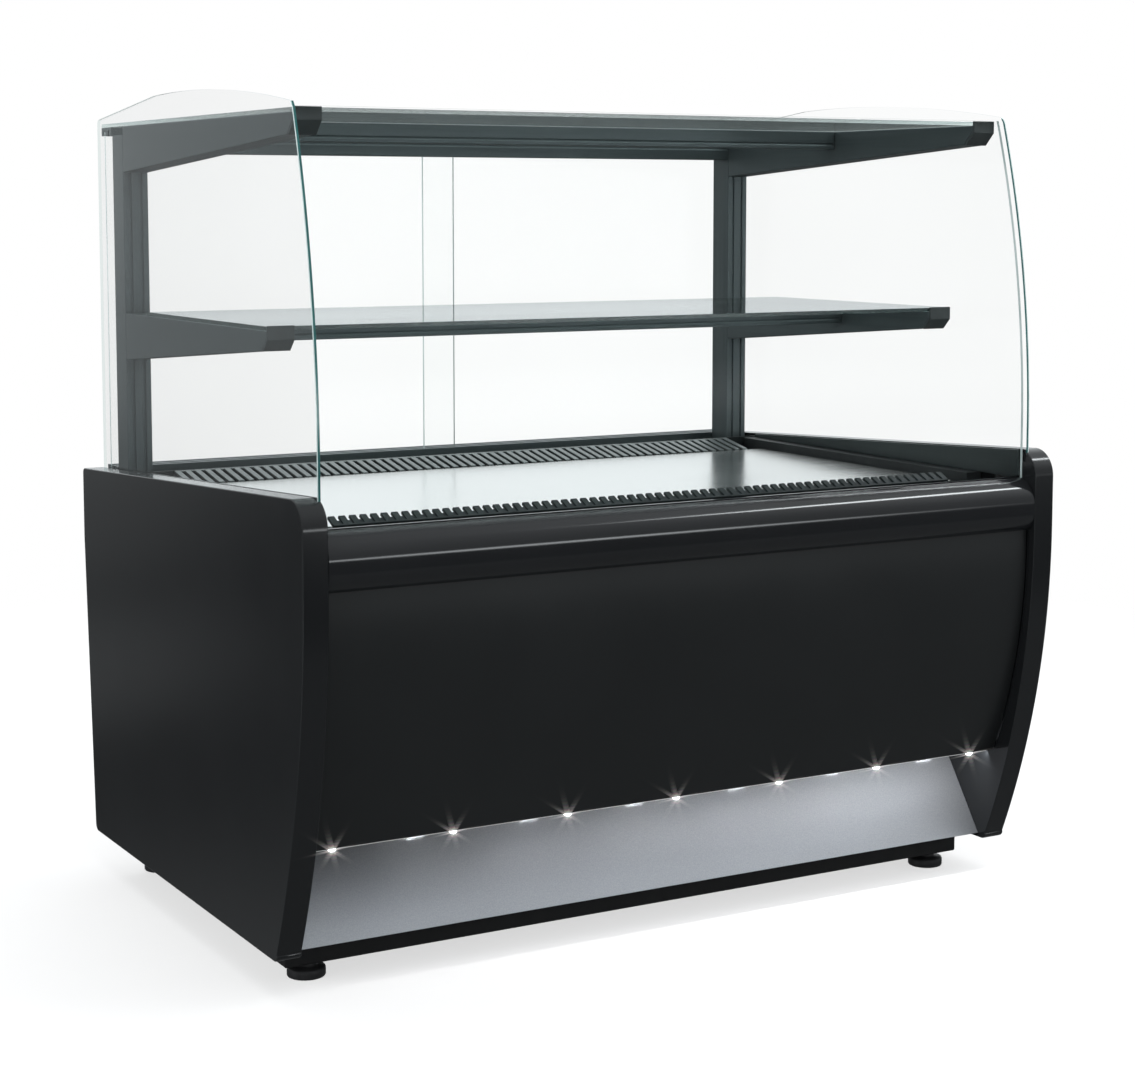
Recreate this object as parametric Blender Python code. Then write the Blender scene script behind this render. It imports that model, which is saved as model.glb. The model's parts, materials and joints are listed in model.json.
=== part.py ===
"""Refrigerated deli case with a bent glass front, one glass shelf and two sliding glass doors.

Metres, +Z up. X runs along the counter, the customer stands on the -Y side and the staff
on the +Y side. The origin is on the floor, under the middle of the case.
"""
import math

import bmesh
import bpy
from mathutils import Matrix, Vector

# Overall sizes
HALF_WIDTH = 0.655
PANEL_THICKNESS = 0.038
INNER_X = HALF_WIDTH - PANEL_THICKNESS
FRONT_Y = -0.468
REAR_Y = 0.468
FIT = 0.0005

# Base frame and feet
FOOT_X = 0.569
FOOT_FRONT_Y = -0.2625
FOOT_REAR_Y = 0.3535
FOOT_RADIUS = 0.0285
FRAME_BOTTOM = 0.024
FRAME_TOP = 0.064
FRAME_X = 0.613
FRAME_FRONT_Y = -0.2885
FRAME_REAR_Y = 0.3795
FRAME_BAR = 0.052
STEM_RADIUS = 0.006

# Side panels
PANEL_BOTTOM = 0.060
PANEL_FRONT_RADIUS = 0.042
PANEL_BOW_RADIUS = 1.353
PANEL_BOW_TOP = 0.600
PANEL_TOP_FRONT = 0.723
PANEL_TOP_SLOPE = 0.0530
PANEL_REAR_KINK = 0.560
PANEL_REAR_FOOT_Y = 0.436
PANEL_EDGE = 0.005
REBATE_X = 0.6235
REBATE_DEPTH = 0.020

# Glass
GLASS_X = 0.6175
GLASS_THICKNESS = 0.005
BOW_CENTRE_Y = 1.249
BOW_CENTRE_Z = 0.761
BOW_RADIUS = 1.693
FRONT_GLASS_SETBACK = 0.008
FRONT_GLASS_BOTTOM = 0.6655
FRONT_GLASS_TOP = 1.2515
CREST_CENTRE_Y = 0.0553
CREST_CENTRE_Z = -1.657
CREST_RADIUS = 2.9447
CREST_END_Y = 0.180
SIDE_GLASS_REAR_Y = 0.4545
SIDE_GLASS_REAR_TOP = 1.2570

# Bumper
NOSE_Y = -0.426
NOSE_RADIUS = 0.042
NOSE_TOP = 0.6785
BUMPER_REAR_Y = -0.3345
BUMPER_REAR_TOP = 0.6645

# Front panel, kick plate and light strip
FRONT_PANEL_Y = -0.452
FRONT_PANEL_TOP = 0.5990
FRONT_PANEL_BOTTOM = 0.218
FRONT_PANEL_RADIUS = 0.896
FRONT_PANEL_BEND = 0.570
KICK_BOTTOM = (-0.3435, 0.0670)
KICK_ANGLE = 55.1
KICK_LENGTH = 0.190
LED_COUNT = 7
LED_PITCH = 0.191
LED_Y = -0.3715

# Frame above the counter
POST_INNER = 0.571
POST_OUTER = 0.613
POST_FRONT_Y = 0.3565
POST_REAR_Y = 0.4075
SILL_TOP = 0.6670
SILL_LIP_TOP = 0.6790
TRACK_TOP = 0.6800
PANE = 0.006
CANOPY_PANE_BOTTOM = 1.2440
CANOPY_FRONT_Y = -0.3565
CANOPY_REAR_Y = 0.4625
SHELF_PANE_BOTTOM = 0.9395
SHELF_FRONT_Y = -0.2525
SHELF_REAR_Y = 0.2535
CAP_THICKNESS = 0.004
TUBE = 0.030

# Sliding doors
DOOR_OUTER_Y = 0.4475
DOOR_INNER_Y = 0.4265
DOOR_EDGE_X = 0.612
DOOR_OVERLAP = 0.036
DOOR_BOTTOM = 0.6730
DOOR_TOP = 1.2370

# Deck, grilles and well
DECK_TOP = 0.6635
DECK_X = 0.5775
DECK_FRONT_Y = -0.3105
DECK_REAR_Y = 0.2485
LINING_X = 0.6115
LINING_FRONT_Y = -0.4295
LINING_REAR_Y = 0.3205
LINING_BOTTOM = 0.677
GRILLE_X = 0.556
WELL_X = 0.5865
WELL_BOTTOM = 0.400
WELL_FLOOR = 0.440
WELL_FRONT_Y = -0.345
WELL_REAR_Y = 0.3225

# Machine compartment
FLOOR_PAN_TOP = 0.0665
REAR_PANEL_Y = 0.4190
CONDENSER_FAN = (0.285, 0.175, 0.215)
EVAPORATOR_FAN_X = 0.26
EVAPORATOR_FAN_Y = -0.080
EVAPORATOR_FAN_Z = 0.545
SWITCH_Z = 0.520
POWER_SWITCH_X = 0.480
LIGHT_SWITCH_X = 0.520
COMPRESSOR = (-0.300, 0.150)
PIPE_BEND = 0.020

FINISHES = {
    "black_panel": ((0.018, 0.019, 0.021), 0.28, 0.0),
    "black_plastic": ((0.022, 0.023, 0.024), 0.45, 0.0),
    "black_steel": ((0.020, 0.020, 0.021), 0.50, 0.6),
    "anodised": ((0.085, 0.100, 0.104), 0.42, 0.85),
    "stainless": ((0.62, 0.64, 0.65), 0.28, 1.0),
    "silver_sheet": ((0.42, 0.43, 0.45), 0.38, 1.0),
    "grille": ((0.16, 0.18, 0.185), 0.40, 0.7),
    "glass": ((0.86, 0.93, 0.91), 0.03, 0.0),
    "light": ((0.95, 0.96, 1.0), 0.30, 0.0),
    "insulation": ((0.07, 0.08, 0.082), 0.60, 0.0),
    "fins": ((0.55, 0.56, 0.57), 0.45, 0.9),
    "painted_black": ((0.03, 0.03, 0.032), 0.55, 0.0),
    "copper": ((0.72, 0.38, 0.22), 0.35, 1.0),
    "zinc": ((0.45, 0.47, 0.48), 0.50, 0.9),
}


def clear_scene():
    for item in list(bpy.data.objects):
        bpy.data.objects.remove(item, do_unlink=True)


def finish(slot):
    """Principled material for one finish, made once."""
    found = bpy.data.materials.get(slot)
    if found:
        return found
    colour, roughness, metallic = FINISHES[slot]
    made = bpy.data.materials.new(slot)
    made.use_nodes = True
    shader = made.node_tree.nodes["Principled BSDF"]
    shader.inputs["Base Color"].default_value = (*colour, 1.0)
    shader.inputs["Roughness"].default_value = roughness
    shader.inputs["Metallic"].default_value = metallic
    if slot == "glass":
        shader.inputs["Transmission Weight"].default_value = 0.9
    if slot == "light":
        shader.inputs["Emission Color"].default_value = (1.0, 0.97, 0.92, 1.0)
        shader.inputs["Emission Strength"].default_value = 4.0
    return made


# ---------------------------------------------------------------- shapes


def arc(centre, radius, start, end, steps):
    """Points on an arc from one angle to another, in degrees."""
    points = []
    for step in range(steps + 1):
        angle = math.radians(start + (end - start) * step / steps)
        points.append((centre[0] + radius * math.cos(angle), centre[1] + radius * math.sin(angle)))
    return points


def folded_sheet(points, thickness):
    """Closed outline of a bent sheet: a line of points, and the same line moved to its left."""
    moved = []
    for index, point in enumerate(points):
        before = Vector(points[max(index - 1, 0)])
        after = Vector(points[min(index + 1, len(points) - 1)])
        here = Vector(point)
        first = (here - before).normalized() if index > 0 else (after - here).normalized()
        second = (after - here).normalized() if index < len(points) - 1 else first
        normal = (Vector((-first.y, first.x)) + Vector((-second.y, second.x))).normalized()
        reach = thickness / max(normal.dot(Vector((-first.y, first.x))), 0.3)
        moved.append(tuple(here + normal * reach))
    return list(points) + moved[::-1]


def prism(outline, axis, low, high):
    """Mesh of a closed outline swept along one axis. The pairs are the other two axes."""
    order = {"X": (1, 2, 0), "Y": (0, 2, 1), "Z": (0, 1, 2)}[axis]
    shape = bmesh.new()
    ring = []
    for first, second in outline:
        place = [0.0, 0.0, 0.0]
        place[order[0]] = first
        place[order[1]] = second
        place[order[2]] = low
        ring.append(shape.verts.new(place))
    face = shape.faces.new(ring)
    swept = bmesh.ops.extrude_face_region(shape, geom=[face])
    shift = [0.0, 0.0, 0.0]
    shift[order[2]] = high - low
    tops = [item for item in swept["geom"] if isinstance(item, bmesh.types.BMVert)]
    bmesh.ops.translate(shape, verts=tops, vec=shift)
    bmesh.ops.recalc_face_normals(shape, faces=shape.faces)
    return shape


def block(low, high, shape=None):
    """Box between two corners, added to a shape or as a new one."""
    shape = shape or bmesh.new()
    size = [high[axis] - low[axis] for axis in range(3)]
    middle = [(high[axis] + low[axis]) / 2 for axis in range(3)]
    matrix = Matrix.Translation(middle) @ Matrix.Diagonal((*size, 1.0))
    bmesh.ops.create_cube(shape, size=1.0, matrix=matrix)
    return shape


def rod(centre, axis, radius, length, sides=16, shape=None):
    """Cylinder about an axis through its centre, added to a shape or as a new one."""
    shape = shape or bmesh.new()
    turn = {"X": Matrix.Rotation(math.pi / 2, 4, "Y"), "Y": Matrix.Rotation(math.pi / 2, 4, "X")}
    matrix = Matrix.Translation(centre) @ turn.get(axis, Matrix.Identity(4))
    bmesh.ops.create_cone(shape, cap_ends=True, segments=sides, radius1=radius, radius2=radius,
                          depth=length, matrix=matrix)
    return shape


def turned(profile, sides):
    """Solid turned about Z from (radius, height) points that start and end on the axis."""
    shape = bmesh.new()
    points = [shape.verts.new((radius, 0.0, height)) for radius, height in profile]
    edges = [shape.edges.new(pair) for pair in zip(points, points[1:])]
    bmesh.ops.spin(shape, geom=points + edges, cent=(0, 0, 0), axis=(0, 0, 1),
                   angle=2 * math.pi, steps=sides, use_merge=True)
    bmesh.ops.remove_doubles(shape, verts=shape.verts, dist=0.00001)
    bmesh.ops.recalc_face_normals(shape, faces=shape.faces)
    return shape


def add(name, shape, slot, location=(0.0, 0.0, 0.0), rotation=(0.0, 0.0, 0.0)):
    """Turn a shape into a named object with its finish."""
    mesh = bpy.data.meshes.new(name)
    shape.to_mesh(mesh)
    shape.free()
    mesh.shade_smooth()
    mesh.set_sharp_from_angle(angle=math.radians(35))
    mesh.materials.append(finish(slot))
    piece = bpy.data.objects.new(name, mesh)
    bpy.context.scene.collection.objects.link(piece)
    piece.location = location
    piece.rotation_euler = rotation
    return piece


def guide(name, shape):
    """Helper object for a Boolean, which is not a part of the case."""
    helper = add(name, shape, "zinc")
    helper.hide_render = True
    helper.display_type = "WIRE"
    return helper


def combine(piece, operation, shape):
    """Boolean of a piece with a shape in the same local frame."""
    helper = guide(piece.name + "." + operation.lower(), shape)
    helper.location = piece.location
    helper.rotation_euler = piece.rotation_euler
    modifier = piece.modifiers.new(operation.lower(), "BOOLEAN")
    modifier.operation = operation
    modifier.solver = "EXACT"
    modifier.use_self = True
    modifier.object = helper


def soften(piece, width, segments=2):
    """Bevel on the sharp edges of a piece."""
    modifier = piece.modifiers.new("edge", "BEVEL")
    modifier.width = width
    modifier.segments = segments
    modifier.limit_method = "ANGLE"
    modifier.angle_limit = math.radians(40)


def both_sides(build):
    """Run a builder for the left side (-1) and the right side (+1)."""
    for side, word in ((-1, "left"), (1, "right")):
        build(side, word)


def span(side, near, far):
    """Lowest and highest X of a piece that lies between two distances from the middle."""
    return (near, far) if side > 0 else (-far, -near)


def panel_top(y):
    """Height of the sloping top edge of a side panel."""
    return PANEL_TOP_FRONT - PANEL_TOP_SLOPE * (y - (FRONT_Y + PANEL_FRONT_RADIUS))


# ---------------------------------------------------------------- base and feet


def build_base():
    frame = add("base_frame", block((-FRAME_X, FRAME_FRONT_Y, FRAME_BOTTOM),
                                    (FRAME_X, FRAME_REAR_Y, FRAME_TOP)), "black_steel")
    soften(frame, 0.002, 1)
    opening = bmesh.new()
    for low, high in ((-FRAME_X + FRAME_BAR, -FRAME_BAR / 2), (FRAME_BAR / 2, FRAME_X - FRAME_BAR)):
        block((low, FRAME_FRONT_Y + FRAME_BAR, FRAME_BOTTOM - 0.01),
              (high, FRAME_REAR_Y - FRAME_BAR, FRAME_TOP + 0.01), opening)
    for x in (-FOOT_X, FOOT_X):
        for y in (FOOT_FRONT_Y, FOOT_REAR_Y):
            rod((x, y, FRAME_TOP / 2), "Z", STEM_RADIUS + 0.001, 0.12, 16, opening)
    combine(frame, "DIFFERENCE", opening)
    floor = folded_sheet([(-0.262, 0.0780), (-0.262, FRAME_TOP + FIT), (0.405, FRAME_TOP + FIT),
                          (0.405, 0.0780)], 0.0015)
    add("floor_pan", prism(floor, "X", -0.612, 0.612), "zinc")


def build_feet():
    top = FRAME_BOTTOM - 0.0003
    profile = [(0, 0), (FOOT_RADIUS - 0.002, 0), (FOOT_RADIUS, 0.002), (FOOT_RADIUS, 0.013),
               (FOOT_RADIUS - 0.002, 0.015), (0.016, 0.016), (0.014, top), (STEM_RADIUS, top),
               (STEM_RADIUS, 0.060), (0, 0.060)]
    for x, side in ((-FOOT_X, "left"), (FOOT_X, "right")):
        for y, end in ((FOOT_FRONT_Y, "front"), (FOOT_REAR_Y, "rear")):
            add("foot_" + end + "_" + side, turned(profile, 20), "black_plastic", (x, y, 0))


# ---------------------------------------------------------------- cabinet


def side_panel_outline():
    bow_centre = (FRONT_Y + PANEL_BOW_RADIUS, PANEL_BOW_TOP)
    foot_angle = math.degrees(math.asin((PANEL_BOW_TOP - PANEL_BOTTOM) / PANEL_BOW_RADIUS))
    bow = arc(bow_centre, PANEL_BOW_RADIUS, 180, 180 + foot_angle, 12)
    corner_y = FRONT_Y + PANEL_FRONT_RADIUS
    corner_z = PANEL_TOP_FRONT - PANEL_FRONT_RADIUS
    front_corner = arc((corner_y, corner_z), PANEL_FRONT_RADIUS, 93, 180, 8)
    rear_top = arc((REAR_Y - 0.010, panel_top(REAR_Y) - 0.010), 0.010, 0, 90, 3)
    return ([(REAR_Y, PANEL_REAR_KINK)] + rear_top + front_corner + bow
            + [(PANEL_REAR_FOOT_Y - 0.010, PANEL_BOTTOM), (PANEL_REAR_FOOT_Y, PANEL_BOTTOM + 0.010)])


def build_side_panel(side, word):
    low, high = span(side, INNER_X, HALF_WIDTH)
    panel = add("side_panel_" + word, prism(side_panel_outline(), "X", low, high), "black_panel")
    soften(panel, PANEL_EDGE, 2)
    ends = (FRONT_Y + 0.0235, REAR_Y + 0.02)
    rebate = [(ends[0], panel_top(ends[0]) - REBATE_DEPTH), (ends[1], panel_top(ends[1]) - REBATE_DEPTH),
              (ends[1], panel_top(ends[1]) + 0.05), (ends[0], panel_top(ends[0]) + 0.05)]
    cut_low, cut_high = span(side, INNER_X - 0.01, REBATE_X)
    combine(panel, "DIFFERENCE", prism(rebate, "X", cut_low, cut_high))


def front_panel_line():
    """Outer line of the bowed front panel, from the bottom edge to the top."""
    drop = FRONT_PANEL_BEND - FRONT_PANEL_BOTTOM
    end = 180 + math.degrees(math.asin(drop / FRONT_PANEL_RADIUS))
    centre = (FRONT_PANEL_Y + FRONT_PANEL_RADIUS, FRONT_PANEL_BEND)
    return arc(centre, FRONT_PANEL_RADIUS, end, 180, 12) + [(FRONT_PANEL_Y, FRONT_PANEL_TOP)]


def build_front():
    line = front_panel_line()
    lip = (line[0][0] + 0.0050, line[0][1])
    panel = folded_sheet([lip] + line, -0.003)
    add("front_panel", prism(panel, "X", -INNER_X + FIT, INNER_X - FIT), "black_panel")

    angle = math.radians(KICK_ANGLE)
    top = (KICK_BOTTOM[0] + KICK_LENGTH * math.cos(angle), KICK_BOTTOM[1] + KICK_LENGTH * math.sin(angle))
    flange = (KICK_BOTTOM[0] + 0.040, KICK_BOTTOM[1])
    kick = folded_sheet([flange, KICK_BOTTOM, top, (top[0] + 0.030, top[1])], -0.002)
    add("kick_plate", prism(kick, "X", -INNER_X + FIT, INNER_X - FIT), "silver_sheet")

    channel = [(LED_Y - 0.0025, 0.2190), (LED_Y + 0.014, 0.2190), (LED_Y + 0.014, 0.2270),
               (LED_Y + 0.0005, 0.2270)]
    add("led_profile", prism(channel, "X", -0.610, 0.610), "anodised")
    strip = add("led_lens_strip", block((-0.605, LED_Y - 0.0015, 0.2152), (0.605, LED_Y + 0.010, 0.2187)),
                "light")
    domes = bmesh.new()
    for number in range(LED_COUNT):
        x = (number - (LED_COUNT - 1) / 2) * LED_PITCH
        matrix = Matrix.Translation((x, LED_Y + 0.0040, 0.2142)) @ Matrix.Diagonal((1.0, 1.0, 0.6, 1.0))
        bmesh.ops.create_uvsphere(domes, u_segments=10, v_segments=6, radius=0.0056, matrix=matrix)
    combine(strip, "UNION", domes)


def build_bumper():
    upper = arc((NOSE_Y, NOSE_TOP - NOSE_RADIUS), NOSE_RADIUS, 180, 92, 8)
    lower = arc((-0.432, 0.6235), 0.036, 235, 180, 7)
    glass_y = BOW_CENTRE_Y - BOW_RADIUS + FRONT_GLASS_SETBACK
    slot = [(glass_y - FIT, NOSE_TOP - 0.001), (glass_y - FIT, FRONT_GLASS_BOTTOM - FIT),
            (glass_y + GLASS_THICKNESS + FIT, FRONT_GLASS_BOTTOM - FIT),
            (glass_y + GLASS_THICKNESS + FIT, NOSE_TOP)]
    upper = [point for point in upper if point[0] < glass_y - FIT]
    rear = [(BUMPER_REAR_Y, BUMPER_REAR_TOP), (BUMPER_REAR_Y, BUMPER_REAR_TOP - 0.004),
            (-0.405, 0.6660), (-0.405, 0.6000), (FRONT_PANEL_Y - FIT, 0.6000)]
    outline = lower + upper + slot + [(NOSE_Y, NOSE_TOP)] + rear
    add("bumper", prism(outline, "X", -INNER_X + FIT, INNER_X - FIT), "black_panel")


def build_rear():
    sill = [(0.3215, 0.6600), (0.3215, SILL_LIP_TOP), (0.3250, SILL_LIP_TOP), (0.3250, SILL_TOP),
            (0.4630, SILL_TOP), (0.4630, 0.6420), (0.3670, 0.6420), (0.3670, 0.6600)]
    add("rear_sill", prism(sill, "X", -INNER_X + FIT, INNER_X - FIT), "anodised")
    panel = folded_sheet([(0.4100, 0.0800), (0.4100, 0.0700), (REAR_PANEL_Y, 0.0700),
                          (REAR_PANEL_Y, 0.6410), (0.4000, 0.6410)], 0.0015)
    back = add("rear_panel", prism(panel, "X", -0.612, 0.612), "painted_black")
    slots = bmesh.new()
    for column in (-0.40, -0.20, 0.0, 0.20, 0.40):
        for row in range(7):
            z = 0.120 + 0.030 * row
            block((column - 0.080, 0.402, z), (column + 0.080, 0.460, z + 0.008), slots)
    combine(back, "DIFFERENCE", slots)


# ---------------------------------------------------------------- glass


def bow_line(radius, low, high, steps):
    """Line of the bent glass: upright up to the bow's centre height, then bending back."""
    end = math.degrees(math.asin((high - BOW_CENTRE_Z) / radius))
    centre = (BOW_CENTRE_Y, BOW_CENTRE_Z)
    return [(BOW_CENTRE_Y - radius, low)] + arc(centre, radius, 180, 180 - end, steps)


def build_glass():
    outer = bow_line(BOW_RADIUS - FRONT_GLASS_SETBACK, FRONT_GLASS_BOTTOM, FRONT_GLASS_TOP, 14)
    inner = bow_line(BOW_RADIUS - FRONT_GLASS_SETBACK - GLASS_THICKNESS, FRONT_GLASS_BOTTOM,
                     FRONT_GLASS_TOP, 14)
    add("front_glass", prism(outer + inner[::-1], "X", -GLASS_X + 0.001, GLASS_X - 0.001), "glass")
    both_sides(build_side_glass)


def build_side_glass(side, word):
    front_y = BOW_CENTRE_Y - BOW_RADIUS
    seat = REBATE_DEPTH - FIT
    bow = bow_line(BOW_RADIUS, panel_top(front_y) - seat, 1.2490, 16)
    start = 90 + math.degrees(math.asin((CREST_CENTRE_Y - bow[-1][0] - 0.010) / CREST_RADIUS))
    end = 90 - math.degrees(math.asin((CREST_END_Y - CREST_CENTRE_Y) / CREST_RADIUS))
    crest = arc((CREST_CENTRE_Y, CREST_CENTRE_Z), CREST_RADIUS, start, end, 10)
    rear = [(SIDE_GLASS_REAR_Y - 0.010, SIDE_GLASS_REAR_TOP), (SIDE_GLASS_REAR_Y - 0.003, 1.2540),
            (SIDE_GLASS_REAR_Y, 1.2470), (SIDE_GLASS_REAR_Y, panel_top(SIDE_GLASS_REAR_Y) - seat)]
    low, high = span(side, GLASS_X, GLASS_X + GLASS_THICKNESS)
    add("side_glass_" + word, prism(bow + crest + rear, "X", low, high), "glass")


# ---------------------------------------------------------------- upper frame


def post_section(low, high):
    """Section of an upright: a box with a shallow groove down its front and inner faces."""
    mid_x = (low + high) / 2
    groove = 0.004
    depth = 0.002
    front = POST_FRONT_Y
    return [(low, front), (mid_x - groove, front), (mid_x - groove, front + depth),
            (mid_x + groove, front + depth), (mid_x + groove, front), (high, front),
            (high, POST_REAR_Y), (low, POST_REAR_Y)]


def arm_outline(front_y, nose_top, drop, top, root_bottom):
    """Side view of a tapering arm from the post to the back of its end cap."""
    start = front_y + CAP_THICKNESS + 0.0003
    nose_bottom = nose_top - drop + 0.001
    return [(POST_FRONT_Y - 0.0003, root_bottom), (POST_FRONT_Y - 0.0003, top), (start, top),
            (start, nose_top + 0.0020), (front_y + drop + 0.0055, nose_bottom)]


def cap_outline(front_y, top, nose_top, drop):
    """Side view of an end cap: an upright face and a 45 degree chamfer under it."""
    line = [(front_y + drop, nose_top - drop), (front_y, nose_top), (front_y, top)]
    return folded_sheet(line, -CAP_THICKNESS)


def build_upper_side(side, word):
    low, high = span(side, POST_INNER, POST_OUTER)
    post = prism(post_section(low, high), "Z", SILL_TOP + 0.0003, 1.2297)
    add("post_" + word, post, "anodised")
    canopy_arm = arm_outline(CANOPY_FRONT_Y, 1.2320, 0.0200, CANOPY_PANE_BOTTOM - 0.0003, 1.1690)
    add("canopy_arm_" + word, prism(canopy_arm, "X", low, high), "anodised")
    canopy_cap = cap_outline(CANOPY_FRONT_Y, CANOPY_PANE_BOTTOM + PANE + 0.001, 1.2320, 0.0200)
    add("canopy_cap_" + word, prism(canopy_cap, "X", low, high), "black_plastic")
    shelf_arm = arm_outline(SHELF_FRONT_Y, 0.9260, 0.0170, SHELF_PANE_BOTTOM - 0.0003, 0.8630)
    add("shelf_arm_" + word, prism(shelf_arm, "X", low, high), "anodised")
    shelf_cap = cap_outline(SHELF_FRONT_Y, SHELF_PANE_BOTTOM + PANE + 0.001, 0.9260, 0.0170)
    add("shelf_cap_" + word, prism(shelf_cap, "X", low, high), "black_plastic")


def cross_tube(name, y, top):
    """Square tube between the two arms, under a pane."""
    ends = POST_INNER - FIT
    tube = add(name, block((-ends, y, top - TUBE), (ends, y + TUBE, top)), "anodised")
    soften(tube, 0.002, 2)


def build_upper_frame():
    both_sides(build_upper_side)
    pane_x = POST_OUTER - 0.0005
    add("top_glass", block((-pane_x, CANOPY_FRONT_Y + 0.0045, CANOPY_PANE_BOTTOM),
                           (pane_x, CANOPY_REAR_Y, CANOPY_PANE_BOTTOM + PANE)), "glass")
    add("shelf_glass", block((-pane_x, SHELF_FRONT_Y + 0.0045, SHELF_PANE_BOTTOM),
                             (pane_x, SHELF_REAR_Y, SHELF_PANE_BOTTOM + PANE)), "glass")
    cross_tube("canopy_cross_tube", 0.0205, CANOPY_PANE_BOTTOM - 0.0003)
    cross_tube("shelf_cross_tube", -0.0070, SHELF_PANE_BOTTOM - 0.0003)
    ends = POST_INNER - FIT
    rail = [(POST_FRONT_Y, 1.2005), (POST_FRONT_Y + 0.040, 1.2005), (POST_FRONT_Y + 0.040, 1.2437),
            (POST_FRONT_Y, 1.2437), (POST_FRONT_Y, 1.2260), (POST_FRONT_Y + 0.002, 1.2240),
            (POST_FRONT_Y + 0.002, 1.2200), (POST_FRONT_Y, 1.2180)]
    add("header_rail", prism(rail, "X", -ends, ends), "anodised")


# ---------------------------------------------------------------- sliding doors


def track_outline(base, lip, depth):
    """Section of a two-groove door track; the grooves open from the base towards the lip."""
    half = 0.004
    inner, outer = DOOR_INNER_Y, DOOR_OUTER_Y
    floor = lip - depth if lip > base else lip + depth
    return [(0.4125, base), (0.4125, lip), (inner - half, lip), (inner - half, floor),
            (inner + half, floor), (inner + half, lip), (outer - half, lip), (outer - half, floor),
            (outer + half, floor), (outer + half, lip), (0.4615, lip), (0.4615, base)]


def build_doors():
    add("door_track_bottom", prism(track_outline(SILL_TOP + 0.0003, TRACK_TOP, 0.0080), "X",
                                   -POST_OUTER, POST_OUTER), "anodised")
    add("door_track_top", prism(track_outline(CANOPY_PANE_BOTTOM - 0.0003, 1.2303, 0.0090), "X",
                                -POST_OUTER, POST_OUTER), "anodised")
    half = GLASS_THICKNESS / 2
    length = DOOR_EDGE_X + DOOR_OVERLAP
    middle_z = (DOOR_BOTTOM + DOOR_TOP) / 2
    rise = (DOOR_TOP - DOOR_BOTTOM) / 2
    for side, word, y in ((-1, "left", DOOR_OUTER_Y), (1, "right", DOOR_INNER_Y)):
        middle_x = side * (DOOR_EDGE_X - length / 2)
        add("sliding_door_" + word, block((-length / 2, -half, -rise), (length / 2, half, rise)),
            "glass", (middle_x, y, middle_z))


# ---------------------------------------------------------------- deck, grilles and well


def comb(name, pitch, bar, reach, rail, thickness, place, tilt, turn, slot):
    """Air grille: a comb plate, tilted about X and put in place by its rail's edge."""
    count = int(2 * GRILLE_X / pitch)
    half = (count * pitch + bar - pitch) / 2
    outline = [(half, 0.0), (-half, 0.0)]
    for number in range(count):
        left = -half + number * pitch
        if number:
            outline.append((left, rail))
        outline.append((left, reach))
        outline.append((left + bar, reach))
        if number < count - 1:
            outline.append((left + bar, rail))
    add(name, prism(outline, "Z", -thickness, 0.0), slot, place, (math.radians(tilt), 0.0, turn))


def build_lining(side, word):
    """Thin lining on a side panel's inner face, from the front glass back to the rear sill."""
    rear, top = LINING_REAR_Y, 0.0010
    outline = [(LINING_FRONT_Y, LINING_BOTTOM + 0.0025), (LINING_FRONT_Y, panel_top(LINING_FRONT_Y) - top),
               (rear, panel_top(rear) - top), (rear, LINING_BOTTOM), (LINING_FRONT_Y + 0.0175, LINING_BOTTOM)]
    low, high = span(side, LINING_X, INNER_X - FIT)
    add("inner_lining_" + word, prism(outline, "X", low, high), "anodised")


def build_well():
    both_sides(build_lining)
    tray = add("deck_tray", block((-DECK_X, DECK_FRONT_Y, DECK_TOP - 0.022),
                                  (DECK_X, DECK_REAR_Y, DECK_TOP)), "stainless")
    soften(tray, 0.0015, 2)
    wall = 0.0015
    combine(tray, "DIFFERENCE", block((-DECK_X + wall, DECK_FRONT_Y + wall, DECK_TOP - 0.040),
                                      (DECK_X - wall, DECK_REAR_Y - wall, DECK_TOP - wall)))
    comb("front_air_grille", 0.0165, 0.0105, 0.0250, 0.0040, 0.0050, (0.0, -0.3338, 0.6675), 26.0, 0.0,
         "grille")
    comb("rear_air_grille", 0.0172, 0.0115, 0.0720, 0.0050, 0.0040, (0.0, 0.3205, 0.6790), -11.0, math.pi,
         "grille")
    tub = add("insulated_well", block((-INNER_X + FIT, -0.4040, WELL_BOTTOM),
                                      (INNER_X - FIT, WELL_REAR_Y, 0.6595)), "insulation")
    add("well_rear_wall", block((-INNER_X + FIT, WELL_REAR_Y + 0.0003, WELL_BOTTOM),
                                (INNER_X - FIT, 0.3660, 0.6595)), "insulation")
    hollow = block((-WELL_X, WELL_FRONT_Y, WELL_FLOOR), (WELL_X, WELL_REAR_Y + 0.010, 0.7000))
    rod((-0.350, 0.235, WELL_BOTTOM), "Z", 0.0140, 0.2, 16, hollow)
    rod((0.0, -0.170, WELL_BOTTOM), "Z", 0.0135, 0.2, 16, hollow)
    combine(tub, "DIFFERENCE", hollow)
    rims = bmesh.new()
    for side in (-1, 1):
        low, high = span(side, WELL_X, INNER_X - FIT)
        block((low, BUMPER_REAR_Y + FIT, 0.6500), (high, LINING_REAR_Y, LINING_BOTTOM - 0.0003), rims)
    combine(tub, "UNION", rims)


# ---------------------------------------------------------------- refrigeration


def fin_outline(low, high, count, plate, bottom, top):
    """Section of a finned block: upright plates on both sides of a level core."""
    pitch = (high - low - plate) / (count - 1)
    core = 0.015
    middle = (bottom + top) / 2
    upper = []
    for number in range(count):
        left = low + number * pitch
        if number:
            upper.append((left, middle + core))
        upper += [(left, top), (left + plate, top)]
        if number < count - 1:
            upper.append((left + plate, middle + core))
    return upper + [(x, 2 * middle - z) for x, z in upper[::-1]]


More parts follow.
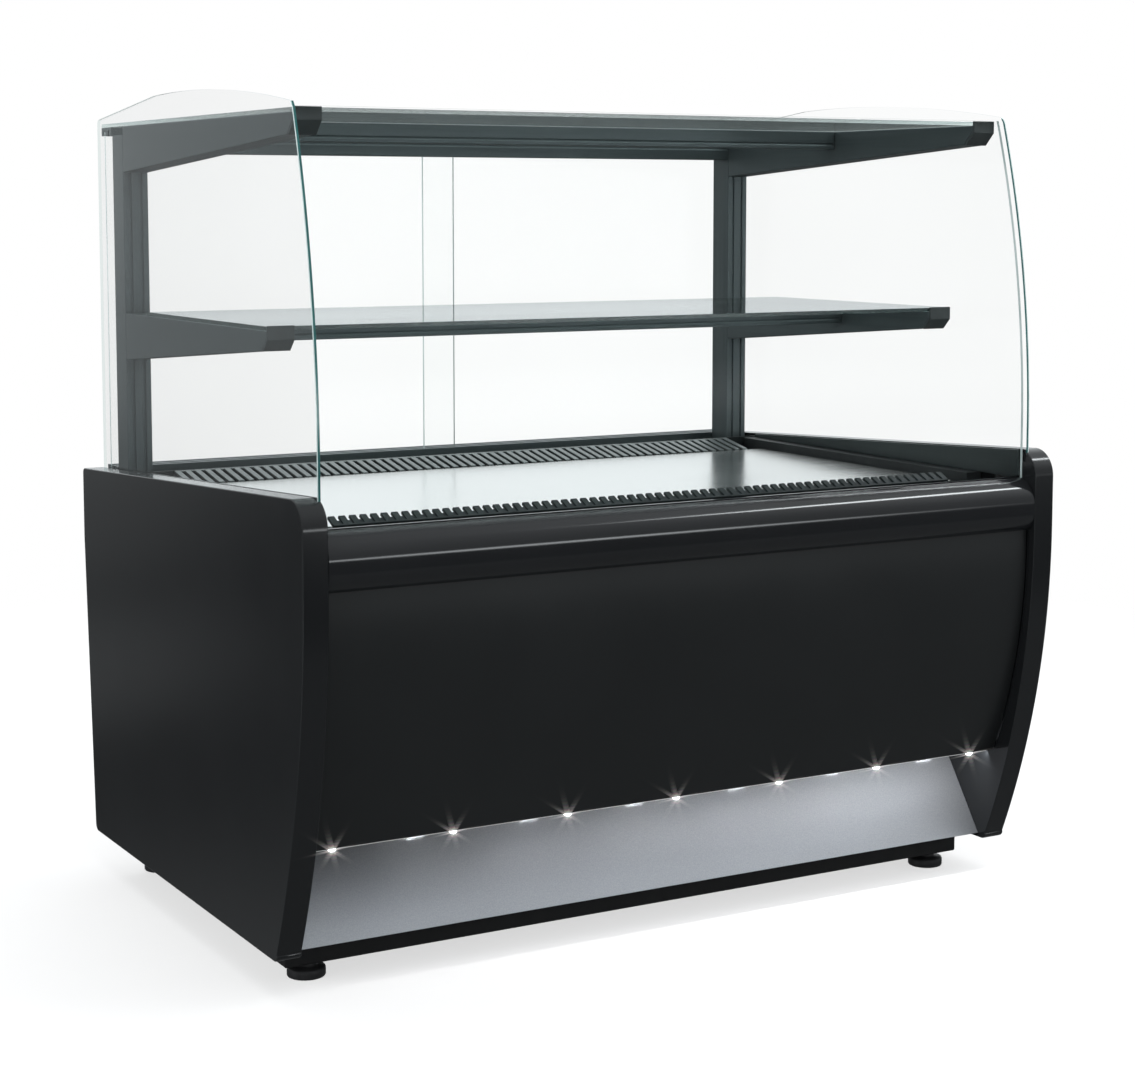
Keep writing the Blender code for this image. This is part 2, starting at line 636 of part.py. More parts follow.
def fan(name, place, radius, hub, depth, slot):
    """Axial fan about Y: a turned hub and five pitched blades."""
    profile = [(0, -depth / 2), (hub * 0.8, -depth / 2), (hub, -depth / 3), (hub, depth / 3),
               (hub * 0.8, depth / 2), (0, depth / 2)]
    blades = bmesh.new()
    for number in range(5):
        turn = Matrix.Rotation(math.radians(72 * number), 4, "Z")
        lean = Matrix.Rotation(math.radians(32), 4, "X")
        reach = (hub * 0.7 + radius) / 2
        size = Matrix.Diagonal((radius - hub * 0.7, radius * 0.50, 0.0025, 1.0))
        bmesh.ops.create_cube(blades, size=1.0, matrix=turn @ Matrix.Translation((reach, 0, 0)) @ lean @ size)
    rotor = add(name, turned(profile, 16), slot, place, (math.pi / 2, 0, 0))
    combine(rotor, "UNION", blades)


def build_evaporator():
    coil = fin_outline(-0.420, 0.420, 29, 0.003, WELL_FLOOR + FIT, 0.580)
    add("evaporator", prism(coil, "Y", 0.040, 0.200), "fins")
    plate = add("evaporator_fan_plate", block((-0.570, EVAPORATOR_FAN_Y + 0.024, WELL_FLOOR + FIT),
                                              (0.570, EVAPORATOR_FAN_Y + 0.026, 0.6400)), "zinc")
    holes = bmesh.new()
    for x in (-EVAPORATOR_FAN_X, EVAPORATOR_FAN_X):
        rod((x, EVAPORATOR_FAN_Y + 0.025, EVAPORATOR_FAN_Z), "Y", 0.080, 0.1, 24, holes)
    combine(plate, "DIFFERENCE", holes)
    brackets = bmesh.new()
    for x in (-EVAPORATOR_FAN_X, EVAPORATOR_FAN_X):
        block((x - 0.090, EVAPORATOR_FAN_Y + 0.0255, EVAPORATOR_FAN_Z - 0.008),
              (x + 0.090, EVAPORATOR_FAN_Y + 0.0285, EVAPORATOR_FAN_Z + 0.008), brackets)
        rod((x, EVAPORATOR_FAN_Y + 0.038, EVAPORATOR_FAN_Z), "Y", 0.025, 0.022, 16, brackets)
    combine(plate, "UNION", brackets)
    for x, word in ((-EVAPORATOR_FAN_X, "left"), (EVAPORATOR_FAN_X, "right")):
        fan("evaporator_fan_" + word, (x, EVAPORATOR_FAN_Y, EVAPORATOR_FAN_Z), 0.072, 0.022, 0.034,
            "painted_black")


def build_machine():
    shell = [(0, 0.010), (0.062, 0.010), (0.082, 0.030), (0.084, 0.100), (0.088, 0.104), (0.088, 0.112),
             (0.084, 0.116), (0.082, 0.170), (0.060, 0.196), (0, 0.204)]
    compressor = add("compressor", turned(shell, 24), "painted_black", (*COMPRESSOR, FLOOR_PAN_TOP))
    extras = block((-0.110, -0.012, 0.0), (0.110, 0.012, 0.012))
    block((0.070, -0.035, 0.060), (0.110, 0.035, 0.125), extras)
    combine(compressor, "UNION", extras)

    x, y, z = CONDENSER_FAN
    coil = fin_outline(x - 0.140, x + 0.140, 21, 0.003, FLOOR_PAN_TOP + FIT, 0.3550)
    add("condenser", prism(coil, "Y", y + 0.045, y + 0.115), "fins")
    shroud = add("condenser_fan_shroud", block((x - 0.140, y - 0.016, FLOOR_PAN_TOP + FIT),
                                               (x + 0.140, y + 0.040, 0.3550)), "zinc")
    hole = rod((x, y, z), "Y", 0.112, 0.2, 28)
    combine(shroud, "DIFFERENCE", hole)
    bracket = block((x - 0.120, y - 0.016, z - 0.009), (x + 0.120, y - 0.013, z + 0.009))
    rod((x, y - 0.032, z), "Y", 0.034, 0.034, 20, bracket)
    combine(shroud, "UNION", bracket)
    fan("condenser_fan", (x, y + 0.012, z), 0.102, 0.030, 0.040, "painted_black")

    pan = add("drain_pan", block((-0.090, -0.240, FLOOR_PAN_TOP + FIT), (0.090, -0.100, 0.1150)),
              "black_plastic")
    combine(pan, "DIFFERENCE", block((-0.087, -0.237, FLOOR_PAN_TOP + 0.003), (0.087, -0.103, 0.150)))
    add("drain_pipe", rod((0.0, -0.170, 0.2800), "Z", 0.0125, 0.300, 16), "black_plastic")
    build_suction_pipe()


def build_suction_pipe():
    """Insulated suction line from the compressor up through the well's floor to the coil."""
    line = bpy.data.curves.new("suction_pipe", "CURVE")
    line.dimensions = "3D"
    line.bevel_depth = 0.007
    line.bevel_resolution = 2
    line.use_fill_caps = True
    corners = [Vector((*COMPRESSOR, FLOOR_PAN_TOP + 0.2045)), Vector((*COMPRESSOR, 0.330)),
               Vector((-0.350, 0.235, 0.375)), Vector((-0.350, 0.235, 0.510)), Vector((-0.350, 0.201, 0.510))]
    points = [corners[0]]
    for before, corner, after in zip(corners, corners[1:], corners[2:]):
        start = corner + (before - corner).normalized() * PIPE_BEND
        end = corner + (after - corner).normalized() * PIPE_BEND
        for step in range(5):
            share = step / 4
            first = start.lerp(corner, share)
            second = corner.lerp(end, share)
            points.append(first.lerp(second, share))
    points.append(corners[-1])
    spline = line.splines.new("POLY")
    spline.points.add(len(points) - 1)
    for place, point in zip(spline.points, points):
        place.co = (*point, 1.0)
    pipe = bpy.data.objects.new("suction_pipe", line)
    line.materials.append(finish("copper"))
    bpy.context.scene.collection.objects.link(pipe)


# ---------------------------------------------------------------- controls


def build_controls():
    face_y = REAR_PANEL_Y + 0.0003
    bezel = add("control_panel", block((0.330, face_y, SWITCH_Z - 0.045),
                                       (0.560, face_y + 0.012, SWITCH_Z + 0.045)), "black_plastic")
    soften(bezel, 0.003, 2)
    pockets = bmesh.new()
    for x in (POWER_SWITCH_X, LIGHT_SWITCH_X):
        block((x - 0.0110, face_y + 0.003, SWITCH_Z - 0.0150),
              (x + 0.0110, face_y + 0.030, SWITCH_Z + 0.0150), pockets)
    block((0.352, face_y + 0.009, SWITCH_Z - 0.016), (0.430, face_y + 0.030, SWITCH_Z + 0.016), pockets)
    combine(bezel, "DIFFERENCE", pockets)
    rocker = [(0.0, -0.0135), (0.0062, -0.0135), (0.0045, 0.0), (0.0086, 0.0135), (0.0040, 0.0135)]
    for x, name in ((POWER_SWITCH_X, "power_switch"), (LIGHT_SWITCH_X, "light_switch")):
        add(name, prism(rocker, "X", -0.0100, 0.0100), "black_plastic", (x, face_y + 0.0050, SWITCH_Z))
    profile = [(0, 0), (0.014, 0), (0.014, 0.004), (0.011, 0.005), (0.011, 0.016), (0.008, 0.020), (0, 0.020)]
    add("cable_gland", turned(profile, 12), "black_plastic", (-0.540, face_y, 0.105), (-math.pi / 2, 0, 0))


def main():
    clear_scene()
    build_base()
    build_feet()
    both_sides(build_side_panel)
    build_front()
    build_bumper()
    build_rear()
    build_glass()
    build_upper_frame()
    build_doors()
    build_well()
    build_evaporator()
    build_machine()
    build_controls()


main()
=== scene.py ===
"""Looks of the refrigerated deli case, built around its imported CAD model.

Metres, +Z up, the customer on the -Y side. Every piece rides on the CAD body of the node it stands for.
"""
import json
import math

import bmesh
import bpy
from mathutils import Matrix, Vector

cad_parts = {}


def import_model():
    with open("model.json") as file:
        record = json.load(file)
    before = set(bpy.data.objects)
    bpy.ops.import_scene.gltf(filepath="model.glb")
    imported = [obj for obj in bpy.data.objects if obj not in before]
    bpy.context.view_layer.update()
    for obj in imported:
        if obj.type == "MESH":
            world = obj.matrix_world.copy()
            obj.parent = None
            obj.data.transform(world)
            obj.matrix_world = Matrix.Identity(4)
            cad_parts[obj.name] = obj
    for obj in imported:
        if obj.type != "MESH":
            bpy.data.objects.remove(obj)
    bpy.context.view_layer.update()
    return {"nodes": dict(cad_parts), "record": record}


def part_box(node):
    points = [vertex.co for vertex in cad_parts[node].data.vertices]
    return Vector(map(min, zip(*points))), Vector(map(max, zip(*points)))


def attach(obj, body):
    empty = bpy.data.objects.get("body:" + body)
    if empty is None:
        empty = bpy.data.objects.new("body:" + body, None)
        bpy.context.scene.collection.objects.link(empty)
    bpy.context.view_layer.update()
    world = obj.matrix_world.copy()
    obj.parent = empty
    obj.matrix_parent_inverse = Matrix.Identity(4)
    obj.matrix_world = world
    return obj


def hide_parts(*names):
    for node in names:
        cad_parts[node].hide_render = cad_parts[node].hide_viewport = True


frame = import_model()
body_of_node = {}
for body_name, members in frame["record"]["behaviour"]["bodies"].items():
    for member in members:
        body_of_node[member] = body_name


# ---------------------------------------------------------------- node helpers


def new_material(name):
    """Empty node material with a Principled shader; returns the material, its tree and the shader."""
    made = bpy.data.materials.new(name)
    made.use_nodes = True
    tree = made.node_tree
    return made, tree, tree.nodes["Principled BSDF"]


def node(tree, kind, **values):
    """Node with its properties or sockets set by name."""
    made = tree.nodes.new("ShaderNode" + kind)
    for key, value in values.items():
        if hasattr(made, key):
            setattr(made, key, value)
        else:
            made.inputs[key.replace("_", " ")].default_value = value
    return made


def mapped(tree, scale):
    """Object coordinates stretched by a scale in X, Y and Z."""
    place = node(tree, "TexCoord")
    stretch = node(tree, "Mapping")
    stretch.inputs["Scale"].default_value = scale
    tree.links.new(place.outputs["Object"], stretch.inputs["Vector"])
    return stretch.outputs["Vector"]


def noise(tree, scale, stretch=(1, 1, 1), detail=3.0, rough=0.55):
    """Noise over the object's own coordinates."""
    made = node(tree, "TexNoise", Scale=scale, Detail=detail, Roughness=rough)
    tree.links.new(mapped(tree, stretch), made.inputs["Vector"])
    return made.outputs["Fac"]


def ramp(tree, source, low, high, start=0.3, end=0.7):
    """Value or colour that runs from low to high as the source runs from start to end."""
    if isinstance(low, tuple):
        made = node(tree, "ValToRGB")
        made.color_ramp.elements[0].position = start
        made.color_ramp.elements[1].position = end
        made.color_ramp.elements[0].color = (*low, 1.0)
        made.color_ramp.elements[1].color = (*high, 1.0)
        tree.links.new(source, made.inputs["Fac"])
        return made.outputs["Color"]
    made = node(tree, "MapRange")
    made.inputs["From Min"].default_value = start
    made.inputs["From Max"].default_value = end
    made.inputs["To Min"].default_value = low
    made.inputs["To Max"].default_value = high
    tree.links.new(source, made.inputs["Value"])
    return made.outputs["Result"]


def bump(tree, shader, height, strength, distance):
    """Fine relief on a shader from a height value."""
    made = node(tree, "Bump")
    made.inputs["Strength"].default_value = strength
    made.inputs["Distance"].default_value = distance
    tree.links.new(height, made.inputs["Height"])
    tree.links.new(made.outputs["Normal"], shader.inputs["Normal"])


# ---------------------------------------------------------------- materials


def lacquer(name, dark, light, rough_low, rough_high, specular, skin):
    """Black lacquered or moulded panel: faint mottling, uneven gloss and a very fine skin."""
    made, tree, shader = new_material(name)
    cloud = noise(tree, 5.0, detail=4.0)
    tree.links.new(ramp(tree, cloud, dark, light), shader.inputs["Base Color"])
    tree.links.new(ramp(tree, cloud, rough_low, rough_high), shader.inputs["Roughness"])
    shader.inputs["Specular IOR Level"].default_value = specular
    bump(tree, shader, noise(tree, 700.0, detail=2.0), skin, 0.0002)
    return made


def silver(name, dark, light, roughness, metallic):
    """Silver paint: metal flakes about a millimetre across, under slow clouds."""
    made, tree, shader = new_material(name)
    flakes = noise(tree, 650.0, detail=2.0, rough=0.7)
    tree.links.new(ramp(tree, flakes, dark, light), shader.inputs["Base Color"])
    gloss = ramp(tree, noise(tree, 4.0), roughness - 0.03, roughness + 0.03)
    tree.links.new(gloss, shader.inputs["Roughness"])
    shader.inputs["Metallic"].default_value = metallic
    bump(tree, shader, flakes, 0.05, 0.0001)
    return made


def plastic(name, dark, light, roughness):
    """Moulded plastic with a spark-eroded grain."""
    made, tree, shader = new_material(name)
    cloud = noise(tree, 40.0)
    tree.links.new(ramp(tree, cloud, dark, light), shader.inputs["Base Color"])
    grain = noise(tree, 1500.0, detail=2.0)
    tree.links.new(ramp(tree, grain, roughness - 0.05, roughness + 0.08), shader.inputs["Roughness"])
    shader.inputs["Specular IOR Level"].default_value = 0.35
    bump(tree, shader, grain, 0.25, 0.0002)
    return made


def brushed(name, dark, light, roughness, metallic, stretch, scale=90.0, depth=0.12):
    """Drawn or brushed metal: long fine streaks in colour, gloss and height, under slow clouds."""
    made, tree, shader = new_material(name)
    streak = noise(tree, scale, stretch, detail=5.0, rough=0.7)
    cloud = noise(tree, 3.0)
    both = node(tree, "Math", operation="MULTIPLY_ADD")
    both.inputs[1].default_value = 0.7
    tree.links.new(streak, both.inputs[0])
    soft = node(tree, "Math", operation="MULTIPLY")
    soft.inputs[1].default_value = 0.3
    tree.links.new(cloud, soft.inputs[0])
    tree.links.new(soft.outputs[0], both.inputs[2])
    tree.links.new(ramp(tree, both.outputs[0], dark, light, 0.35, 0.65), shader.inputs["Base Color"])
    gloss = ramp(tree, both.outputs[0], roughness - 0.06, roughness + 0.08)
    tree.links.new(gloss, shader.inputs["Roughness"])
    shader.inputs["Metallic"].default_value = metallic
    bump(tree, shader, streak, depth, 0.0001)
    return made


def pane(name, tint, head_on, edge_on=1.0):
    """Face of clear glass: a faint tint on what is behind, under a mirror that grows edge-on."""
    made, tree, shader = new_material(name)
    tree.nodes.remove(shader)
    out = tree.nodes["Material Output"]
    clear = node(tree, "BsdfTransparent")
    smear = noise(tree, 2.2, detail=3.0)
    tree.links.new(ramp(tree, smear, tuple(c - 0.006 for c in tint), tint), clear.inputs["Color"])
    mirror = node(tree, "BsdfGlossy", Roughness=0.02)
    facing = node(tree, "LayerWeight", Blend=0.5)
    steep = node(tree, "Math", operation="POWER")
    steep.inputs[1].default_value = 5.0
    share = node(tree, "MapRange")
    share.inputs["To Min"].default_value = head_on
    share.inputs["To Max"].default_value = edge_on
    mix = node(tree, "MixShader")
    tree.links.new(facing.outputs["Facing"], steep.inputs[0])
    tree.links.new(steep.outputs[0], share.inputs["Value"])
    tree.links.new(share.outputs["Result"], mix.inputs[0])
    tree.links.new(clear.outputs[0], mix.inputs[1])
    tree.links.new(mirror.outputs[0], mix.inputs[2])
    tree.links.new(mix.outputs[0], out.inputs["Surface"])
    return made


def glass_edge(name, dark, light):
    """Ground and polished edge of a pane, where the glass shows its own colour; the pale copy stands for
    light caught in the edge, a painted highlight.
    """
    made, tree, shader = new_material(name)
    along = noise(tree, 14.0, detail=4.0)
    tree.links.new(ramp(tree, along, dark, light), shader.inputs["Base Color"])
    shader.inputs["Roughness"].default_value = 0.12
    shader.inputs["Transmission Weight"].default_value = 0.25
    return made


def lamp(name, colour, strength):
    """Lit lens of a lamp, a little uneven."""
    made, tree, shader = new_material(name)
    shader.inputs["Base Color"].default_value = (0.9, 0.9, 0.9, 1.0)
    spots = noise(tree, 120.0)
    glow = ramp(tree, spots, tuple(0.9 * c for c in colour), colour)
    tree.links.new(glow, shader.inputs["Emission Color"])
    shader.inputs["Emission Strength"].default_value = strength
    return made


LONG_X = (0.02, 1.0, 1.0)
LONG_Y = (1.0, 0.02, 1.0)
LONG_Z = (1.0, 1.0, 0.02)
ANODISED = ((0.074, 0.093, 0.097), (0.104, 0.127, 0.131), 0.40, 0.65)
MATERIALS = {
    "panel": lacquer("side_panel_black", (0.0074, 0.0081, 0.0089), (0.0086, 0.0094, 0.0103),
                     0.13, 0.16, 0.5, 0.012),
    "front": lacquer("front_panel_black", (0.0098, 0.0108, 0.0114), (0.0112, 0.0123, 0.0130),
                     0.28, 0.33, 0.4, 0.03),
    "bumper": lacquer("bumper_black", (0.0100, 0.0108, 0.0118), (0.0112, 0.0121, 0.0134),
                      0.09, 0.11, 0.5, 0.010),
    "plastic": plastic("black_plastic", (0.012, 0.012, 0.013), (0.018, 0.018, 0.019), 0.42),
    "cap": plastic("grey_green_plastic", (0.032, 0.039, 0.040), (0.042, 0.051, 0.052), 0.40),
    "base": plastic("black_powder_coat", (0.0045, 0.0045, 0.005), (0.007, 0.007, 0.0075), 0.55),
    "alu_x": brushed("anodised_along_x", *ANODISED, LONG_X),
    "alu_y": brushed("anodised_along_y", *ANODISED, LONG_Y),
    "alu_z": brushed("anodised_along_z", *ANODISED, LONG_Z),
    "lining": brushed("anodised_lining", (0.040, 0.050, 0.051), (0.056, 0.068, 0.069),
                      0.40, 0.6, LONG_Y),
    "sill": brushed("anodised_sill", (0.018, 0.022, 0.023), (0.028, 0.034, 0.035), 0.45, 0.6, LONG_X),
    "steel": brushed("stainless_deck", (0.76, 0.765, 0.755), (0.81, 0.815, 0.805),
                     0.20, 1.0, LONG_X, 160.0, 0.006),
    "kick": silver("kick_plate_silver", (0.30, 0.315, 0.34), (0.38, 0.395, 0.42), 0.42, 0.75),
    "grille_front": brushed("grille_dark", (0.026, 0.032, 0.033), (0.040, 0.048, 0.050),
                            0.42, 0.7, LONG_Y),
    "grille_rear": brushed("grille_light", (0.14, 0.16, 0.16), (0.20, 0.22, 0.22), 0.38, 0.7, LONG_Y),
    "zinc": brushed("galvanised_sheet", (0.40, 0.42, 0.43), (0.52, 0.54, 0.55), 0.45, 0.9, LONG_X, 20.0),
    "fins": brushed("coil_fins", (0.50, 0.51, 0.52), (0.62, 0.63, 0.64), 0.40, 0.9, LONG_Z),
    "copper": brushed("copper_tube", (0.45, 0.20, 0.11), (0.62, 0.30, 0.18), 0.30, 1.0, LONG_Z),
    # Walls of the well: dark plastic, its colour darkened further to the shade in the gap between the linings
    # and the deck, painted shade.
    "well_dark_and_shade": plastic("well_wall_with_painted_shade", (0.014, 0.016, 0.017), (0.020, 0.023, 0.024), 0.55),
    "pot": plastic("compressor_enamel", (0.012, 0.012, 0.012), (0.022, 0.022, 0.022), 0.35),
    "glass": pane("clear_glass", (0.994, 0.997, 0.996), 0.012, 0.6),
    "glass_front": pane("clear_front_glass", (0.993, 0.997, 0.996), 0.002),
    "glass_shelf": pane("clear_shelf_glass", (0.93, 0.96, 0.955), 0.035),
    "glass_rim": pane("clear_glass_rim", (0.84, 0.90, 0.89), 0.03),
    "edge": glass_edge("glass_edge_teal", (0.008, 0.060, 0.060), (0.020, 0.120, 0.115)),
    "edge_dark": glass_edge("glass_edge_dark", (0.012, 0.026, 0.026), (0.022, 0.044, 0.043)),
    # Pale copy of the glass edge: painted highlight, the light a polished edge catches put into its colour.
    "edge_painted_highlight": glass_edge("glass_edge_painted_highlight", (0.55, 0.68, 0.67), (0.75, 0.86, 0.85)),
    "lens": lamp("lamp_lens", (1.0, 0.95, 0.90), 25.0),
    "lens_bar": lamp("lamp_bar", (1.0, 0.98, 0.95), 0.12),
}


# ---------------------------------------------------------------- mesh helpers


def arc(centre, radius, start, end, steps):
    """Points on an arc from one angle to another, in degrees."""
    points = []
    for step in range(steps + 1):
        angle = math.radians(start + (end - start) * step / steps)
        points.append((centre[0] + radius * math.cos(angle), centre[1] + radius * math.sin(angle)))
    return points


def sheet(points, thickness):
    """Closed outline of a bent sheet: a line of points, and the same line moved to its left."""
    moved = []
    for index, point in enumerate(points):
        here = Vector(point)
        before = Vector(points[max(index - 1, 0)])
        after = Vector(points[min(index + 1, len(points) - 1)])
        first = (here - before).normalized() if index > 0 else (after - here).normalized()
        second = (after - here).normalized() if index < len(points) - 1 else first
        left = Vector((-first.y, first.x))
        normal = (left + Vector((-second.y, second.x))).normalized()
        moved.append(tuple(here + normal * thickness / max(normal.dot(left), 0.3)))
    return list(points) + moved[::-1]


def prism(outline, axis, low, high):
    """Closed outline swept along one axis."""
    shape = bmesh.new()
    order = {"X": (1, 2, 0), "Y": (0, 2, 1), "Z": (0, 1, 2)}[axis]
    rings = []
    for level in (low, high):
        ring = []
        for first, second in outline:
            place = [0.0, 0.0, 0.0]
            place[order[0]] = first
            place[order[1]] = second
            place[order[2]] = level
            ring.append(shape.verts.new(place))
        rings.append(ring)
    made = [shape.faces.new(rings[0]), shape.faces.new(rings[1])]
    count = len(outline)
    lower, upper = rings
    for index in range(count):
        after = (index + 1) % count
        made.append(shape.faces.new((lower[index], lower[after], upper[after], upper[index])))
    bmesh.ops.recalc_face_normals(shape, faces=made)
    return shape


def block(low, high, shape=None):
    """Box between two corners, added to a shape or as a new one."""
    shape = shape or bmesh.new()
    size = [high[axis] - low[axis] for axis in range(3)]
    middle = [(high[axis] + low[axis]) / 2 for axis in range(3)]
    matrix = Matrix.Translation(middle) @ Matrix.Diagonal((*size, 1.0))
    bmesh.ops.create_cube(shape, size=1.0, matrix=matrix)
    return shape


def turned(profile, sides, matrix):
    """Solid turned about Z from (radius, height) points, then placed by a matrix."""
    shape = bmesh.new()
    rings = []
    for radius, height in profile:
        ring = []
        for step in range(sides):
            angle = 2 * math.pi * step / sides
            point = Vector((radius * math.cos(angle), radius * math.sin(angle), height))
            ring.append(shape.verts.new(matrix @ point))
        rings.append(ring)
    made = [shape.faces.new(rings[0]), shape.faces.new(rings[-1])]
    for lower, upper in zip(rings, rings[1:]):
        for step in range(sides):
            after = (step + 1) % sides
            made.append(shape.faces.new((lower[step], lower[after], upper[after], upper[step])))
    bmesh.ops.recalc_face_normals(shape, faces=made)
    return shape


def poured(shape, part):
    """Add one shape's mesh to another and drop it."""
    carry = bpy.data.meshes.new("carry")
    part.to_mesh(carry)
    part.free()
    shape.from_mesh(carry)
    bpy.data.meshes.remove(carry)


def look(name, shape, materials, stands_for, bevel=0.0, segments=2, angle=35, pick=None):
    """Object for a shape that stands for one CAD node; pick(face) gives its material's number."""
    mesh = bpy.data.meshes.new(name)
    if pick:
        for face in shape.faces:
            face.normal_update()
            face.material_index = pick(face)
    shape.to_mesh(mesh)
    shape.free()
    mesh.shade_smooth()
    mesh.set_sharp_from_angle(angle=math.radians(angle))
    for key in ([materials] if isinstance(materials, str) else materials):
        mesh.materials.append(MATERIALS[key])
    piece = bpy.data.objects.new(name, mesh)
    bpy.context.scene.collection.objects.link(piece)
    if bevel:
        soften(piece, bevel, segments, angle)
    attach(piece, body_of_node[stands_for])
    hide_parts(stands_for)
    return piece


def soften(piece, width, segments=2, angle=35):
    """Rounded sharp edges."""
    edge = piece.modifiers.new("edge", "BEVEL")
    edge.width = width
    edge.segments = segments
    edge.limit_method = "ANGLE"
    edge.angle_limit = math.radians(angle)
    edge.harden_normals = True


def cut(piece, shape):
    """Boolean difference with a hidden helper."""
    mesh = bpy.data.meshes.new(piece.name + ".cut")
    shape.to_mesh(mesh)
    shape.free()
    helper = bpy.data.objects.new(piece.name + ".cut", mesh)
    bpy.context.scene.collection.objects.link(helper)
    helper.hide_render = True
    helper.display_type = "WIRE"
    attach(helper, "case")
    trim = piece.modifiers.new("cut", "BOOLEAN")
    trim.operation = "DIFFERENCE"
    trim.solver = "EXACT"
    trim.object = helper


def dress(name, key):
    """Give a CAD node that stays its finished material."""
    slots_here = frame["nodes"][name].data.materials
    slots_here.clear()
    slots_here.append(MATERIALS[key])


def both(build):
    """Run a builder for the left side (-1) and the right side (+1)."""
    build(-1, "left")
    build(1, "right")


def span(side, near, far):
    """Lowest and highest X of a piece between two distances from the middle."""
    return (near, far) if side > 0 else (-far, -near)


# ---------------------------------------------------------------- sizes shared with the CAD

INNER_X = 0.617
LINER_X = 0.6165
OUTER_X = 0.655
REBATE_X = 0.6235
FRONT_Y = -0.468
REAR_Y = 0.468
PANEL_SLOPE = 0.0530
PANEL_BOW = 1.353
NOSE_Y = -0.426
BOW_CENTRE = (1.249, 0.761)
SIDE_GLASS_BOW = 1.693
SIDE_GLASS_TOP = 1.2490
FRONT_GLASS_BOW = 1.685
FRONT_GLASS_BOTTOM = 0.6655
FRONT_GLASS_TOP = 1.2515
BOW_STEPS = 48
GLASS_THICKNESS = 0.005
GLASS_X = 0.6175
EDGE_SPLIT_X = 0.6210
CREST_CENTRE = (0.0553, -1.657)
CREST_RADIUS = 2.9447
FRONT_PANEL_Y = -0.452
FRONT_PANEL_BOW = 0.896
FRONT_PANEL_BEND = 0.570
FRONT_PANEL_BOTTOM = 0.218
KICK_FOOT = (-0.3435, 0.0670)
KICK_ANGLE = math.radians(55.1)
KICK_LENGTH = 0.190
LED_END_X = 0.605
POST_INNER = 0.571
POST_OUTER = 0.613
POST_FRONT_Y = 0.3565
POST_REAR_Y = 0.4075
POST_TOP = 1.2297
SILL_TOP = 0.6670
TUBE_X = 0.5705
PANE_X = 0.6125
PANE = 0.006
CANOPY_FRONT_Y = -0.3565
CANOPY_PANE_BOTTOM = 1.2440
SHELF_FRONT_Y = -0.2525
SHELF_PANE_BOTTOM = 0.9395
GAP = 0.0003
GRILLE_X = 0.556
LINING_X = 0.6115
LINING_FRONT_Y = -0.4295
LINING_REAR_Y = 0.3205
LED_X = [0.191 * (number - 3) for number in range(7)]


def panel_top(y):
    """Height of the sloping top edge of a side panel."""
    return 0.723 - PANEL_SLOPE * (y - NOSE_Y)


def panel_outline():
    """Side view of a side panel: bowed front, rounded nose and a top edge that falls to the rear."""
    foot = math.degrees(math.asin(0.540 / PANEL_BOW))
    front_bow = arc((FRONT_Y + PANEL_BOW, 0.600), PANEL_BOW, 180, 180 + foot - 0.5, 30)
    low_front = arc((-0.3500, 0.0720), 0.012, 200, 268, 4)
    low_rear = arc((0.4245, 0.0720), 0.012, 270, 356, 4)
    front_top = arc((NOSE_Y, 0.681), 0.042, 93, 180, 14)
    rear_top = arc((REAR_Y - 0.008, panel_top(REAR_Y) - 0.008), 0.008, 0, 87, 5)
    return [(REAR_Y, 0.560)] + rear_top + front_top + front_bow + low_front + low_rear


def side_panel(side, word):
    """Side panel with the rebate that its side glass stands in."""
    low, high = span(side, INNER_X, OUTER_X)
    piece = look("look_side_panel_" + word, prism(panel_outline(), "X", low, high), "panel",
                 "side_panel_" + word, 0.0055, 4, 30)
    cut_low, cut_high = span(side, INNER_X - 0.01, REBATE_X)
    ends = (-0.4445, 0.490)
    rebate = [(y, panel_top(y) - 0.020) for y in ends] + [(y, panel_top(y) + 0.05) for y in ends[::-1]]
    cut(piece, prism(rebate, "X", cut_low, cut_high))


def front_parts():
    """Front panel, kick plate and bumper."""
    end = 180 + math.degrees(math.asin((FRONT_PANEL_BEND - FRONT_PANEL_BOTTOM) / FRONT_PANEL_BOW))
    line = arc((FRONT_PANEL_Y + FRONT_PANEL_BOW, FRONT_PANEL_BEND), FRONT_PANEL_BOW, end, 180, 36)
    line.append((FRONT_PANEL_Y, 0.5990))
    lip = (line[0][0] + 0.005, line[0][1])
    look("look_front_panel", prism(sheet([lip] + line, -0.003), "X", -0.6140, 0.6140), "front",
         "front_panel", 0.0008, 2, 40)
    foot_y, foot_z = KICK_FOOT
    top = (foot_y + KICK_LENGTH * math.cos(KICK_ANGLE), foot_z + KICK_LENGTH * math.sin(KICK_ANGLE))
    bend = [(foot_y + 0.0010, foot_z), (foot_y + 0.0002, foot_z + 0.0006)]
    kick = sheet([(foot_y + 0.040, foot_z)] + bend + [top, (top[0] + 0.030, top[1])], -0.002)
    look("look_kick_plate", prism(kick, "X", -LINER_X, LINER_X), "kick", "kick_plate", 0.0004, 2, 25)

    upper = arc((NOSE_Y, 0.6365), 0.042, 180, 98, 22)
    lower = arc((-0.432, 0.6235), 0.036, 235, 180, 12)
    glass_y = BOW_CENTRE[0] - FRONT_GLASS_BOW
    slot = [(glass_y - 0.0005, 0.6775), (glass_y - 0.0005, 0.665), (glass_y + 0.0055, 0.665),
            (glass_y + 0.0055, 0.6785)]
    upper = [point for point in upper if point[0] < glass_y - 0.0010]
    rear = [(-0.3345, 0.6645), (-0.3345, 0.6605), (-0.405, 0.6660), (-0.405, 0.600), (-0.4525, 0.600)]
    outline = lower + upper + slot + [(NOSE_Y, 0.6785)] + rear
    look("look_bumper", prism(outline, "X", -LINER_X, LINER_X), "bumper", "bumper", 0.0006, 2, 40)


